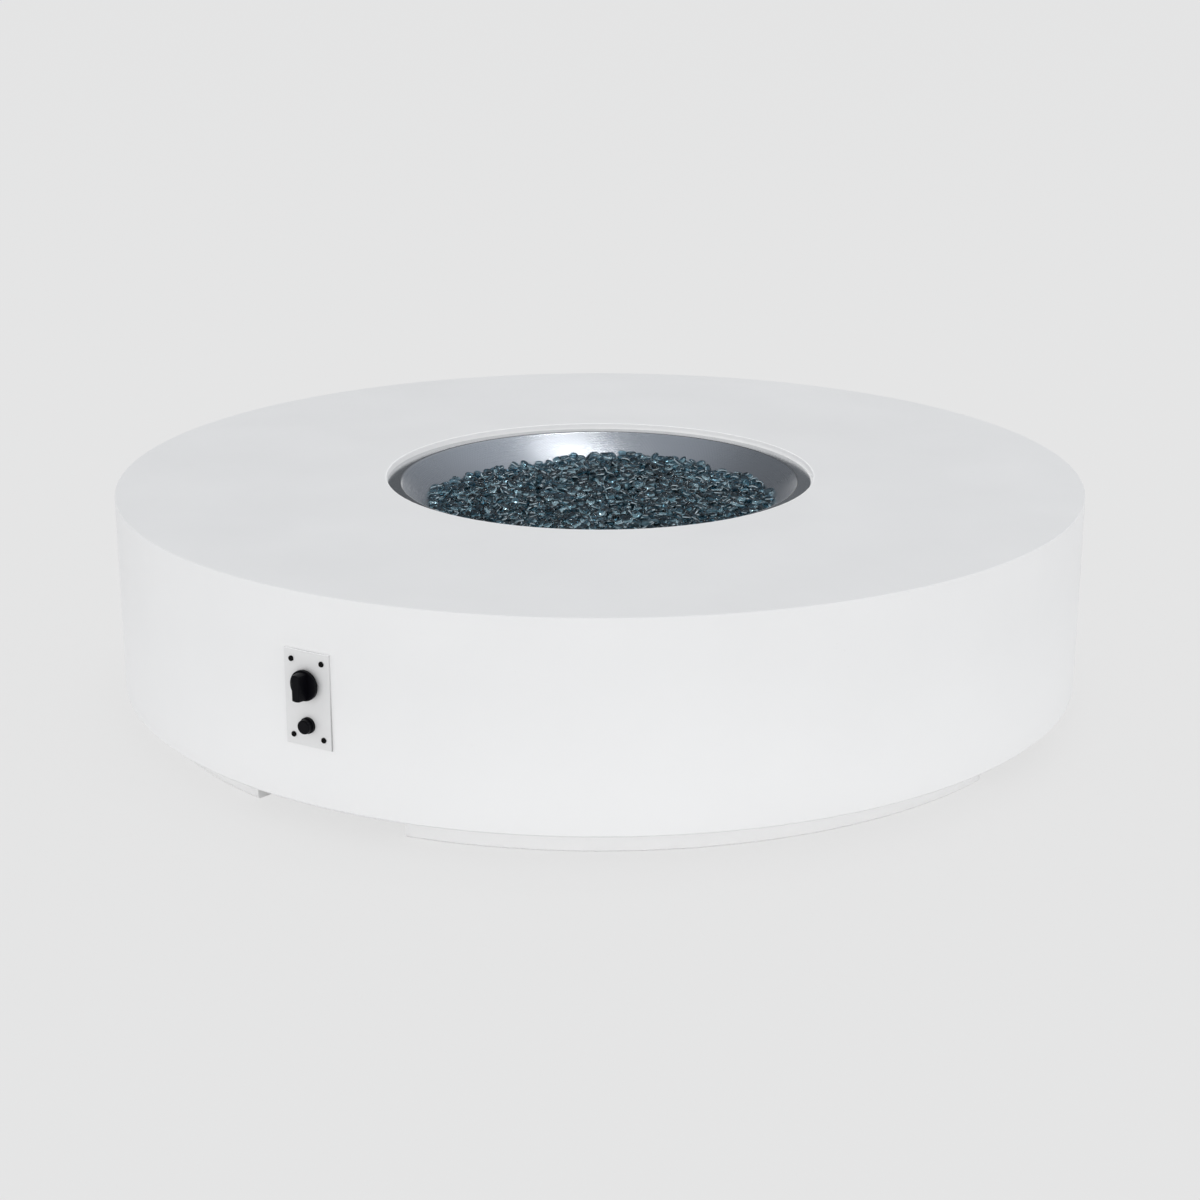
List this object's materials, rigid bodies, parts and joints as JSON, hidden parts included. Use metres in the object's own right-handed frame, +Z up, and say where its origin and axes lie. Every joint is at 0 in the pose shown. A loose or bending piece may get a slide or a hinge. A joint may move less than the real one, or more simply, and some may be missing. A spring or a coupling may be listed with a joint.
{
  "type": "concrete gas fire pit",
  "caption": "Low round cast-concrete gas fire pit with a steel burner bowl of glass beads in its deck and a control plate with a valve knob and an igniter button.",
  "frame": {"origin": "centre of the base, on the ground", "axes": "+Z up; -Y is the front, and the control plate is at the front left"},
  "size_m": [1.524, 1.524, 0.346],
  "materials": {
    "concrete": "cast concrete, smooth, matt",
    "bowl_steel": "spun stainless steel, satin",
    "burner_steel": "stainless steel, mill finish",
    "zinc_steel": "zinc plated",
    "fire_glass": "tempered glass beads, grey blue, fire polished",
    "plate_metal": "satin, pale",
    "black_screw": "black oxide",
    "knob_plastic": "moulded, fine texture",
    "igniter_plastic": "moulded, satin",
    "valve_alloy": "die cast",
    "gas_brass": "machined",
    "white_ceramic": "fired, matt",
    "grommet_rubber": "high temperature rubber",
    "hose_rubber": "smooth gas hose",
    "lead_copper": "drawn copper",
    "wire_rubber": "silicone insulation",
    "battery_can": "plain can"
  },
  "bodies": {
    "root": {"air_mixer": "gas_brass", "battery": "battery_can", "bowl_grommets": "grommet_rubber", "box_screws": "zinc_steel", "burner_bowl": "bowl_steel", "burner_hose": "hose_rubber", "burner_nipple": "burner_steel", "burner_ring": "burner_steel", "concrete_shell": "concrete", "control_box": "zinc_steel", "control_plate": "plate_metal", "electrode_bracket": "burner_steel", "fire_glass_beads": "fire_glass", "fire_glass_bed": "fire_glass", "flame_hood": "burner_steel", "flame_sensor": "burner_steel", "hose_nuts": "gas_brass", "igniter_body": "igniter_plastic", "igniter_nut": "zinc_steel", "igniter_spring": "zinc_steel", "ignition_wire": "wire_rubber", "inlet_bracket": "zinc_steel", "inlet_fitting": "gas_brass", "inlet_locknut": "gas_brass", "inlet_screws": "zinc_steel", "nipple_nuts": "zinc_steel", "orifice_elbow": "gas_brass", "plate_nuts": "zinc_steel", "plate_screws": "black_screw", "safety_magnet": "gas_brass", "sensor_lead": "lead_copper", "spark_electrode": "white_ceramic", "supply_hose": "hose_rubber", "toe_bolts": "zinc_steel", "toe_segment_back": "concrete", "toe_segment_front": "concrete", "toe_segment_left": "concrete", "toe_segment_right": "concrete", "valve_body": "valve_alloy", "valve_bonnet": "valve_alloy", "valve_screws": "black_screw"},
    "valve_plug": {"valve_plug": "gas_brass", "stem_spring": "zinc_steel"},
    "control_knob": {"valve_stem": "gas_brass", "control_knob": "knob_plastic"},
    "igniter_button": {"igniter_button": "igniter_plastic"}
  },
  "joints": [
    {"name": "knob_turn", "type": "hinge", "parent": "root", "child": "valve_plug", "pos_m": [-0.39425, -0.65098, 0.2174], "axis": [-0.518, -0.8554, 0], "range_deg": [0, 210]},
    {"name": "knob_push", "type": "slide", "parent": "valve_plug", "child": "control_knob", "axis": [0.518, 0.8554, 0], "range_m": [0, 0.004], "stiffness_N_per_m": 2500, "springref_m": -0.004, "deforming": ["stem_spring"]},
    {"name": "igniter_push", "type": "slide", "parent": "root", "child": "igniter_button", "axis": [0.518, 0.8554, 0], "range_m": [0, 0.003], "stiffness_N_per_m": 1500, "springref_m": -0.003, "deforming": ["igniter_spring"]}
  ]
}
